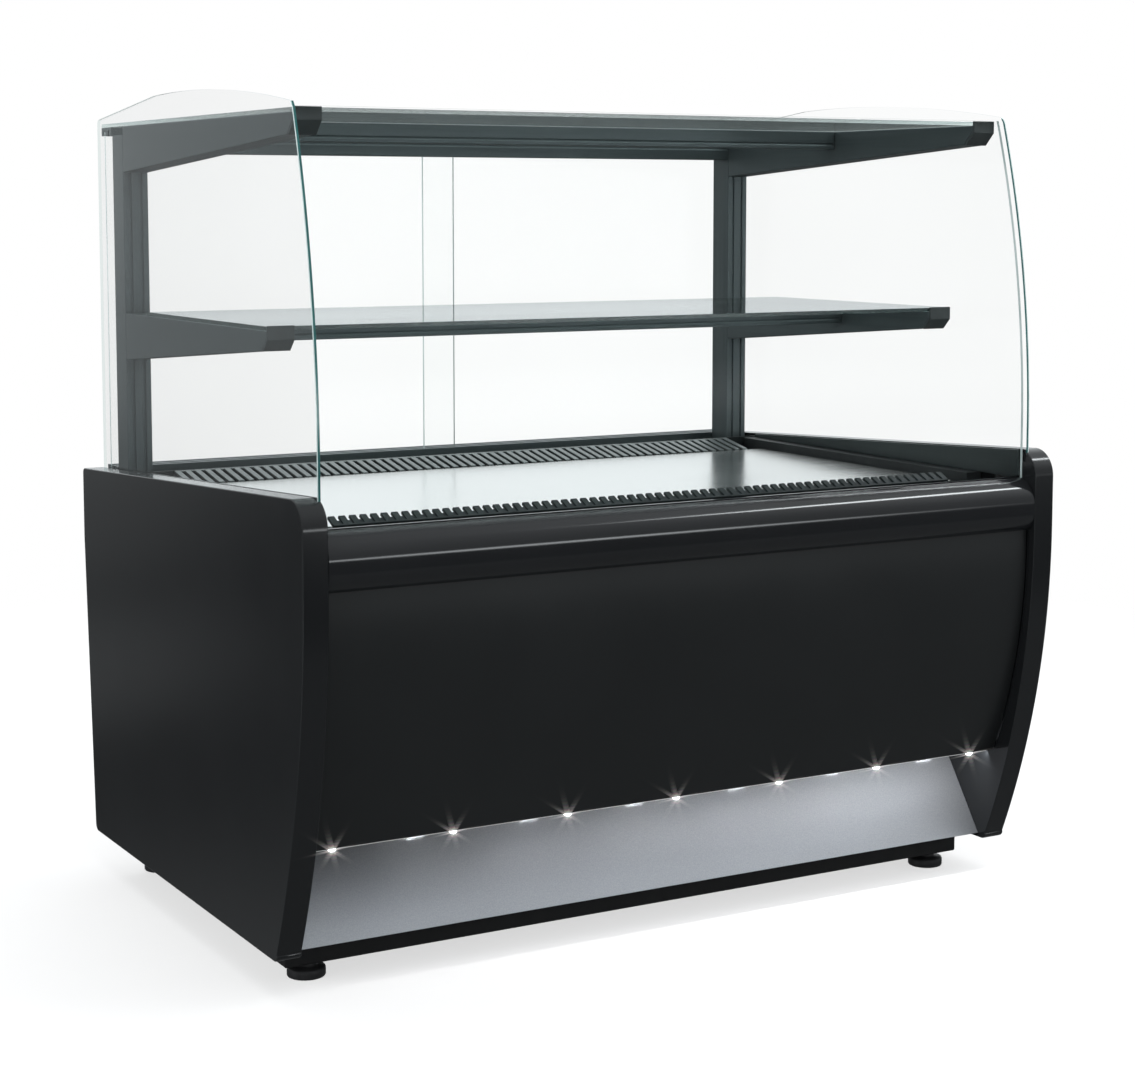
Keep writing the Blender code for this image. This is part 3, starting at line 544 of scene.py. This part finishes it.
def lamps():
    """Aluminium channel of the lamps and its strip of lit lenses."""
    channel = [(-0.3740, 0.2190), (-0.3575, 0.2190), (-0.3575, 0.2270), (-0.3710, 0.2270)]
    look("look_led_profile", prism(channel, "X", -0.610, 0.610), "alu_x", "led_profile", 0.0006)
    shape = block((-LED_END_X, -0.3730, 0.2152), (LED_END_X, -0.3615, 0.2187))
    for x in LED_X:
        matrix = Matrix.Translation((x, -0.3675, 0.2142)) @ Matrix.Diagonal((1, 1, 0.6, 1))
        bmesh.ops.create_uvsphere(shape, u_segments=20, v_segments=12, radius=0.0056, matrix=matrix)
    strip = look("look_led_strip", shape, ["lens_bar", "lens"], "led_lens_strip",
                 pick=lambda face: 1 if len(face.verts) == 3 or face.calc_area() < 0.00001 else 0)
    strip.visible_glossy = False


# ---------------------------------------------------------------- glass


def bow(radius, low, high, steps):
    """Line of the bent glass: upright up to the height of the bow's centre, then leaning back."""
    end = math.degrees(math.asin((high - BOW_CENTRE[1]) / radius))
    return [(BOW_CENTRE[0] - radius, low)] + arc(BOW_CENTRE, radius, 180, 180 - end, steps)


def broad(axis):
    """Picks the face material for a pane: 0 on its two broad faces, 1 on its edges."""
    return lambda face: 0 if abs(face.normal[axis]) > 0.9 else 1


def glass_parts():
    """Front, side, top and shelf glass, and the sliding doors."""
    outer = bow(FRONT_GLASS_BOW, FRONT_GLASS_BOTTOM, FRONT_GLASS_TOP, BOW_STEPS)
    inner = bow(FRONT_GLASS_BOW - GLASS_THICKNESS, FRONT_GLASS_BOTTOM, FRONT_GLASS_TOP, BOW_STEPS)

    # Ends, top and bottom of the front glass take the pale edge: painted highlight.
    def front_material(face):
        return 1 if abs(face.normal[0]) > 0.9 or abs(face.normal[2]) > 0.8 else 0

    look("look_front_glass", prism(outer + inner[::-1], "X", -LINER_X, LINER_X), ["glass_front", "edge_painted_highlight"],
         "front_glass", pick=front_material)

    def end_glass(side, word):
        front = bow(SIDE_GLASS_BOW, panel_top(-0.444) - 0.0195, SIDE_GLASS_TOP, BOW_STEPS)
        start = 90 + math.degrees(math.asin((CREST_CENTRE[0] - front[-1][0] - 0.006) / CREST_RADIUS))
        end = 90 - math.degrees(math.asin((0.180 - CREST_CENTRE[0]) / CREST_RADIUS))
        crest = arc(CREST_CENTRE, CREST_RADIUS, start, end, 30)
        corner = arc((0.4465, SIDE_GLASS_TOP), 0.008, 84, 0, 6)
        outline = front + crest + corner + [(0.4545, panel_top(0.4545) - 0.0195)]
        shape = bmesh.new()
        for near, far in ((GLASS_X, EDGE_SPLIT_X), (EDGE_SPLIT_X, GLASS_X + GLASS_THICKNESS)):
            half = prism(outline, "X", *span(side, near, far))
            hidden = []
            for face in half.faces:
                if abs(face.calc_center_median().x - side * EDGE_SPLIT_X) < 0.0001:
                    hidden.append(face)
            bmesh.ops.delete(half, geom=hidden, context="FACES_ONLY")
            poured(shape, half)
        bmesh.ops.remove_doubles(shape, verts=shape.verts, dist=0.00001)

        def material(face):
            if abs(face.normal[0]) > 0.9:
                return 0
            if face.normal[1] > -0.5:
                return 2
            # Outer half of the front edge takes the pale copy, a painted highlight; the inner half keeps the
            # glass's own teal.
            return 1 if side * face.calc_center_median().x < EDGE_SPLIT_X else 3

        look("look_side_glass_" + word, shape, ["glass", "edge", "glass_rim", "edge_painted_highlight"],
             "side_glass_" + word, pick=material)

    both(end_glass)
    low, high = CANOPY_PANE_BOTTOM, CANOPY_PANE_BOTTOM + PANE
    top = block((-PANE_X, CANOPY_FRONT_Y + 0.0045, low), (PANE_X, 0.4625, high))
    look("look_top_glass", top, ["glass_shelf", "glass_rim"], "top_glass", 0.0005, pick=broad(2))
    low, high = SHELF_PANE_BOTTOM, SHELF_PANE_BOTTOM + PANE
    shelf = block((-PANE_X, SHELF_FRONT_Y + 0.0045, low), (PANE_X, 0.2535, high))
    look("look_shelf_glass", shelf, ["glass_shelf", "edge_dark"], "shelf_glass", 0.0005, pick=broad(2))
    for word in ("left", "right"):
        low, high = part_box("sliding_door_" + word)
        # Door edges take the pale copy: painted highlight.
        look("look_sliding_door_" + word, block(low, high), ["glass_front", "edge_painted_highlight"],
             "sliding_door_" + word, 0.0005, pick=broad(1))


# ---------------------------------------------------------------- upper frame


def groove(low, high, at, width, depth, toward):
    """Three-sided groove points on the line from low to high, at a share of its length."""
    left = low + (high - low) * at - width / 2
    right = low + (high - low) * at + width / 2
    return [(left, toward), (left, toward + depth), (right, toward + depth), (right, toward)]


def arm(front_y, nose_top, drop, top, root_bottom):
    """Side view of a tapering arm from its post to the back of its end cap."""
    start = front_y + 0.0043
    root = POST_FRONT_Y - GAP
    return [(root, root_bottom), (root, top), (start, top), (start, nose_top + 0.0020),
            (front_y + drop + 0.0055, nose_top - drop + 0.001)]


def cap(front_y, top, nose_top, drop):
    """Side view of an end cap: an upright face and a chamfer under it."""
    return sheet([(front_y + drop, nose_top - drop), (front_y, nose_top), (front_y, top)], -0.004)


def upper_side(side, word):
    """One side's post, and the canopy's and the shelf's arm with its end cap."""
    low, high = span(side, POST_INNER, POST_OUTER)
    section = [(low, POST_FRONT_Y)]
    for at in (0.28, 0.72):
        section += groove(low, high, at, 0.004, 0.0025, POST_FRONT_Y)
    section += [(high, POST_FRONT_Y), (high, POST_REAR_Y), (low, POST_REAR_Y)]
    post = prism(section, "Z", SILL_TOP + GAP, POST_TOP)
    look("look_post_" + word, post, "alu_z", "post_" + word, 0.0010)
    for name, front_y, pane, nose_top, drop, root_bottom in (
            ("canopy", CANOPY_FRONT_Y, CANOPY_PANE_BOTTOM, 1.2320, 0.020, 1.1690),
            ("shelf", SHELF_FRONT_Y, SHELF_PANE_BOTTOM, 0.9260, 0.017, 0.8630)):
        side_view = arm(front_y, nose_top, drop, pane - GAP, root_bottom)
        look("look_" + name + "_arm_" + word, prism(side_view, "X", low, high), "alu_y",
             name + "_arm_" + word, 0.0012)
        side_view = cap(front_y, pane + PANE + 0.001, nose_top, drop)
        look("look_" + name + "_cap_" + word, prism(side_view, "X", low, high), "cap",
             name + "_cap_" + word, 0.0010)


def upper_parts():
    """Upper frame: posts, arms, cross tubes, header rail, door tracks and rear sill."""
    both(upper_side)
    for name, y, top in (("canopy_cross_tube", 0.0205, CANOPY_PANE_BOTTOM - GAP),
                         ("shelf_cross_tube", -0.0070, SHELF_PANE_BOTTOM - GAP)):
        section = [(y, top), (y, top - 0.020), (y + 0.0015, top - 0.021), (y + 0.0015, top - 0.023),
                   (y, top - 0.024), (y, top - 0.030), (y + 0.030, top - 0.030), (y + 0.030, top)]
        look("look_" + name, prism(section, "X", -TUBE_X, TUBE_X), "alu_x", name, 0.0010)
    front, back, top = POST_FRONT_Y, POST_FRONT_Y + 0.040, CANOPY_PANE_BOTTOM - GAP
    rail = [(front, 1.2005), (back, 1.2005), (back, top), (front, top), (front, 1.2260),
            (front + 0.002, 1.2240), (front + 0.002, 1.2200), (front, 1.2180)]
    look("look_header_rail", prism(rail, "X", -TUBE_X, TUBE_X), "alu_x", "header_rail", 0.0008)
    for name in ("door_track_bottom", "door_track_top"):
        dress(name, "alu_x")
        soften(frame["nodes"][name], 0.0006)
    sill = [(0.3215, 0.6600), (0.3215, 0.6790), (0.3250, 0.6790), (0.3250, SILL_TOP), (0.4630, SILL_TOP),
            (0.4630, 0.6420), (0.3670, 0.6420), (0.3670, 0.6600)]
    look("look_rear_sill", prism(sill, "X", -LINER_X, LINER_X), "sill", "rear_sill", 0.0008, 3)


# ---------------------------------------------------------------- deck and grilles


def grille(name, pitch, bar, reach, rail, web, thickness, place, tilt, turn, key):
    """Row of rounded bars on a rail and a sunk web, tilted about X and placed by the rail's edge."""
    count = int(2 * GRILLE_X / pitch)
    half = (count * pitch + bar - pitch) / 2
    lean = Matrix.Rotation(math.radians(tilt), 4, "X")
    matrix = Matrix.Translation(place) @ Matrix.Rotation(turn, 4, "Z") @ lean
    shape = bmesh.new()
    block((-half, 0.0, -thickness), (half, rail, 0.0), shape)
    block((-half, 0.0, -thickness), (half, web, 0.0025 - thickness), shape)
    for number in range(count):
        left = -half + number * pitch
        block((left, rail - 0.0005, -thickness), (left + bar, reach, 0.0), shape)
    bmesh.ops.transform(shape, matrix=matrix, verts=shape.verts)
    look("look_" + name, shape, key, name, 0.0009, 2)


def deck_parts():
    """Linings, stainless deck and the two air grilles."""
    def lining(side, word):
        front, rear = LINING_FRONT_Y, LINING_REAR_Y
        outline = [(front, 0.6795), (front, panel_top(front) - 0.001), (rear, panel_top(rear) - 0.001),
                   (rear, 0.677), (front + 0.0175, 0.677)]
        low, high = span(side, LINING_X, LINER_X)
        look("look_inner_lining_" + word, prism(outline, "X", low, high), "lining",
             "inner_lining_" + word, 0.0010)

    both(lining)
    tray = block((-0.5775, -0.3105, 0.6415), (0.5775, 0.2485, 0.6635))
    look("look_deck_tray", tray, "steel", "deck_tray", 0.0030, 4)
    grille("front_air_grille", pitch=0.0165, bar=0.0105, reach=0.0250, rail=0.0040, web=0.0165,
           thickness=0.0050, place=(0.0, -0.3338, 0.6675), tilt=26.0, turn=0.0, key="grille_front")
    grille("rear_air_grille", pitch=0.0172, bar=0.0100, reach=0.0720, rail=0.0050, web=0.0050,
           thickness=0.0040, place=(0.0, 0.3205, 0.6790), tilt=-11.0, turn=math.pi, key="grille_rear")


# ---------------------------------------------------------------- feet, base and back


FOOT_PROFILE = ((0.0245, 0.0), (0.0275, 0.0008), (0.0285, 0.0025), (0.0285, 0.0120), (0.0275, 0.0142),
                (0.0250, 0.0152), (0.0165, 0.0158), (0.0150, 0.0175), (0.0150, 0.0232), (0.0060, 0.0237),
                (0.0060, 0.0600))
DRESSED = {
    "floor_pan": "zinc",
    "rear_panel": "base",
    # The well's walls take the darkened plastic: painted shade in the gap under the linings.
    "insulated_well": "well_dark_and_shade",
    "well_rear_wall": "well_dark_and_shade",
    "evaporator": "fins",
    "evaporator_fan_plate": "zinc",
    "compressor": "pot",
    "condenser": "fins",
    "condenser_fan_shroud": "zinc",
    "condenser_fan": "plastic",
    "evaporator_fan_left": "plastic",
    "evaporator_fan_right": "plastic",
    "drain_pan": "plastic",
    "drain_pipe": "plastic",
    "suction_pipe": "copper",
    "control_panel": "plastic",
    "power_switch": "bumper",
    "light_switch": "bumper",
    "cable_gland": "plastic",
}


def base_parts():
    """Ribbed feet, and the CAD nodes that stay, with their finished materials."""
    for end in ("front", "rear"):
        for word in ("left", "right"):
            name = "foot_" + end + "_" + word
            low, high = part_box(name)
            x, y = (low.x + high.x) / 2, (low.y + high.y) / 2
            shape = turned(FOOT_PROFILE, 48, Matrix.Translation((x, y, 0)))
            for step in range(24):
                turn = Matrix.Translation((x, y, 0)) @ Matrix.Rotation(math.radians(15 * step), 4, "Z")
                grip = bmesh.new()
                block((0.0270, -0.0012, 0.0030), (0.02845, 0.0012, 0.0115), grip)
                bmesh.ops.transform(grip, matrix=turn, verts=grip.verts)
                poured(shape, grip)
            look("look_" + name, shape, "plastic", name, 0.0003, 1, 50)
    dress("base_frame", "base")
    soften(frame["nodes"]["base_frame"], 0.0015)
    for name, key in DRESSED.items():
        dress(name, key)


# ---------------------------------------------------------------- studio


def area(name, place, target, size, power):
    """Soft light that isn't seen in mirrors: the room itself makes the reflections."""
    light = bpy.data.lights.new(name, "AREA")
    light.shape = "RECTANGLE"
    light.size, light.size_y = size
    light.energy = power
    lamp_object = bpy.data.objects.new(name, light)
    bpy.context.scene.collection.objects.link(lamp_object)
    lamp_object.location = place
    lamp_object.rotation_euler = (Vector(target) - Vector(place)).to_track_quat("-Z", "Y").to_euler()
    lamp_object.visible_camera = False
    lamp_object.visible_glossy = False


def smooth(tree, source, start, end, low, high):
    """Value that eases from low to high as the source runs from start to end."""
    made = node(tree, "MapRange", interpolation_type="SMOOTHSTEP")
    made.inputs["From Min"].default_value = start
    made.inputs["From Max"].default_value = end
    made.inputs["To Min"].default_value = low
    made.inputs["To Max"].default_value = high
    tree.links.new(source, made.inputs["Value"])
    return made.outputs["Result"]


def joined(tree, operation, first, second):
    """Sum, product or other Math result of two values."""
    made = node(tree, "Math", operation=operation)
    tree.links.new(first, made.inputs[0])
    tree.links.new(second, made.inputs[1])
    return made.outputs[0]


def window(tree, direction, toward, along, half_length, half_width, strength, core=0.3):
    """Soft oval window of the room round one direction, laid out along another."""
    toward = Vector(toward).normalized()
    across = toward.cross(Vector(along)).normalized()
    along = across.cross(toward)
    local = node(tree, "Mapping", vector_type="TEXTURE")
    local.inputs["Location"].default_value = toward
    local.inputs["Rotation"].default_value = Matrix((along, across, toward)).transposed().to_euler()
    local.inputs["Scale"].default_value = (half_length, half_width, 0.5)
    far = node(tree, "VectorMath", operation="LENGTH")
    tree.links.new(direction, local.inputs["Vector"])
    tree.links.new(local.outputs["Vector"], far.inputs[0])
    return smooth(tree, far.outputs["Value"], 1.0, core, 0.0, strength)


LEVEL = (1.0, 0.0, 0.0)
UPRIGHT = (0.0, 0.0, 1.0)
# Each: direction, what it is laid out along, half length, half width, strength.
WINDOWS = (
    ((0.48, -0.87, 0.000), (0.87, 0.48, 0.0), 0.22, 0.075, 6.0),
    ((0.63, -0.26, 0.735), (0.112, 0.168, -0.02), 0.24, 0.040, 20.0),
    ((0.82, -0.15, 0.550), UPRIGHT, 0.60, 0.65, 0.5),
    ((-0.97, 0.10, -0.150), UPRIGHT, 0.40, 0.12, 3.0),
    ((-0.60, -0.78, -0.150), UPRIGHT, 0.32, 0.08, 3.0),
    ((-0.50, 0.86, -0.080), LEVEL, 0.40, 0.050, 0.2),
    ((-0.285, 0.945, -0.135), LEVEL, 0.095, 0.040, 0.14),
    ((-0.285, 0.935, -0.195), LEVEL, 0.105, 0.040, 0.14),
)


def room(tree):
    """Brightness of the studio by direction: dim below, grey in front, white behind, a few windows."""
    direction = node(tree, "TexCoord").outputs["Generated"]
    split = node(tree, "SeparateXYZ")
    tree.links.new(direction, split.inputs[0])
    height = split.outputs["Z"]
    level = joined(tree, "ADD", smooth(tree, height, -0.12, 0.02, 0.05, 0.35),
                   smooth(tree, height, 0.00, 0.90, 0.0, 0.25))
    level = joined(tree, "ADD", level, smooth(tree, height, -0.24, -0.33, 0.0, 0.11))
    back = joined(tree, "MULTIPLY", smooth(tree, split.outputs["Y"], 0.10, 0.60, 0.0, 0.70),
                  smooth(tree, height, -0.13, -0.03, 0.0, 1.0))
    back = joined(tree, "MULTIPLY", back, smooth(tree, split.outputs["X"], -0.42, -0.05, 0.15, 1.0))
    level = joined(tree, "ADD", level, back)
    for oval in WINDOWS:
        level = joined(tree, "ADD", level, window(tree, direction, *oval))
    return level


def world():
    """White behind the object for the camera, and the room for everything that it lights."""
    made = bpy.data.worlds.new("studio")
    bpy.context.scene.world = made
    made.use_nodes = True
    tree = made.node_tree
    tree.nodes.clear()
    out = tree.nodes.new("ShaderNodeOutputWorld")
    white = node(tree, "Background", Strength=1.0)
    white.inputs["Color"].default_value = (1.0, 1.0, 1.0, 1.0)
    lit = node(tree, "Background")
    lit.inputs["Color"].default_value = (0.935, 0.980, 1.0, 1.0)
    tree.links.new(room(tree), lit.inputs["Strength"])
    path = node(tree, "LightPath")
    mix = node(tree, "MixShader")
    tree.links.new(path.outputs["Is Camera Ray"], mix.inputs[0])
    tree.links.new(lit.outputs[0], mix.inputs[1])
    tree.links.new(white.outputs[0], mix.inputs[2])
    tree.links.new(mix.outputs[0], out.inputs["Surface"])


def sparkle():
    """Star that a lens draws round each lit lamp; nothing else is bright enough for it."""
    scene = bpy.context.scene
    scene.use_nodes = True
    tree = scene.node_tree
    tree.nodes.clear()
    source = tree.nodes.new("CompositorNodeRLayers")
    glare = tree.nodes.new("CompositorNodeGlare")
    glare.glare_type = "STREAKS"
    glare.quality = "HIGH"
    settings = {"Threshold": 6.0, "Strength": 0.32, "Streaks": 8, "Streaks Angle": math.radians(14),
                "Iterations": 3, "Fade": 0.82, "Color Modulation": 0.30, "Saturation": 0.8}
    for name, value in settings.items():
        glare.inputs[name].default_value = value
    out = tree.nodes.new("CompositorNodeComposite")
    tree.links.new(source.outputs["Image"], glare.inputs["Image"])
    tree.links.new(glare.outputs["Image"], out.inputs["Image"])


def led_light():
    """Light of the LED row on the kick plate: a soft bar, and a streak near the plate's top, for each LED."""
    length = 0.18
    reach = 0.615 - length / 2
    for number, x in enumerate(LED_X):
        middle = max(-reach, min(reach, x))
        area("led_bar_%d" % number, (middle, -0.3640, 0.2100), (middle, -0.2900, 0.1400), (length, 0.006),
             0.03 + 0.07 * number)
        spot = x - 0.012
        area("led_streak_%d" % number, (spot, -0.2660, 0.1830), (spot, -0.2600, 0.1788),
             (0.030, 0.0012), 0.0065)


FLOOR_COVER = 0.35
FLOOR_RADIUS = 3.2
CAMERA_PLACE = (-1.8458, -3.2696, 1.1186)
CAMERA_DOWN = 5.559
CAMERA_TURN = -29.694
CAMERA_LENS = 72.66
CAMERA_SHIFT = -0.10


def studio():
    """Lights, room, pale floor and camera."""
    scene = bpy.context.scene
    scene.view_settings.view_transform = "Standard"
    world()
    sparkle()
    led_light()
    area("overhead", (0.4, -0.8, 4.2), (0, 0, 0.6), (4.5, 4.0), 150.0)
    area("right_front", (4.2, -3.2, 2.6), (0, 0, 0.4), (2.2, 3.0), 110.0)
    area("left", (-4.8, -1.4, 1.6), (-0.6, 0, 0.5), (2.0, 2.6), 110.0)
    area("rear", (0.6, 4.4, 2.8), (0, 0, 0.8), (4.5, 2.0), 120.0)

    shape = bmesh.new()
    bmesh.ops.create_circle(shape, cap_ends=True, segments=96, radius=FLOOR_RADIUS)
    mesh = bpy.data.meshes.new("floor")
    shape.to_mesh(mesh)
    shape.free()
    floor = bpy.data.objects.new("floor", mesh)
    scene.collection.objects.link(floor)
    made, tree, shader = new_material("floor_pale")
    cloud = ramp(tree, noise(tree, 1.5), (0.86, 0.86, 0.87), (0.90, 0.90, 0.91))
    tree.links.new(cloud, shader.inputs["Base Color"])
    shader.inputs["Roughness"].default_value = 0.9
    centre = node(tree, "TexCoord")
    reach = node(tree, "VectorMath", operation="LENGTH")
    tree.links.new(centre.outputs["Object"], reach.inputs[0])
    cover = ramp(tree, reach.outputs["Value"], FLOOR_COVER, 0.0, 1.3, 3.0)
    tree.links.new(cover, shader.inputs["Alpha"])
    mesh.materials.append(made)
    floor.location.z = -0.0002
    floor.visible_glossy = False

    camera = bpy.data.cameras.new("camera")
    camera.sensor_width = 36.0
    camera.lens = CAMERA_LENS
    camera.shift_y = CAMERA_SHIFT
    viewer = bpy.data.objects.new("camera", camera)
    scene.collection.objects.link(viewer)
    viewer.location = CAMERA_PLACE
    viewer.rotation_euler = (math.radians(90 - CAMERA_DOWN), 0.0, math.radians(CAMERA_TURN))
    scene.camera = viewer


both(side_panel)
front_parts()
lamps()
glass_parts()
upper_parts()
deck_parts()
base_parts()
studio()
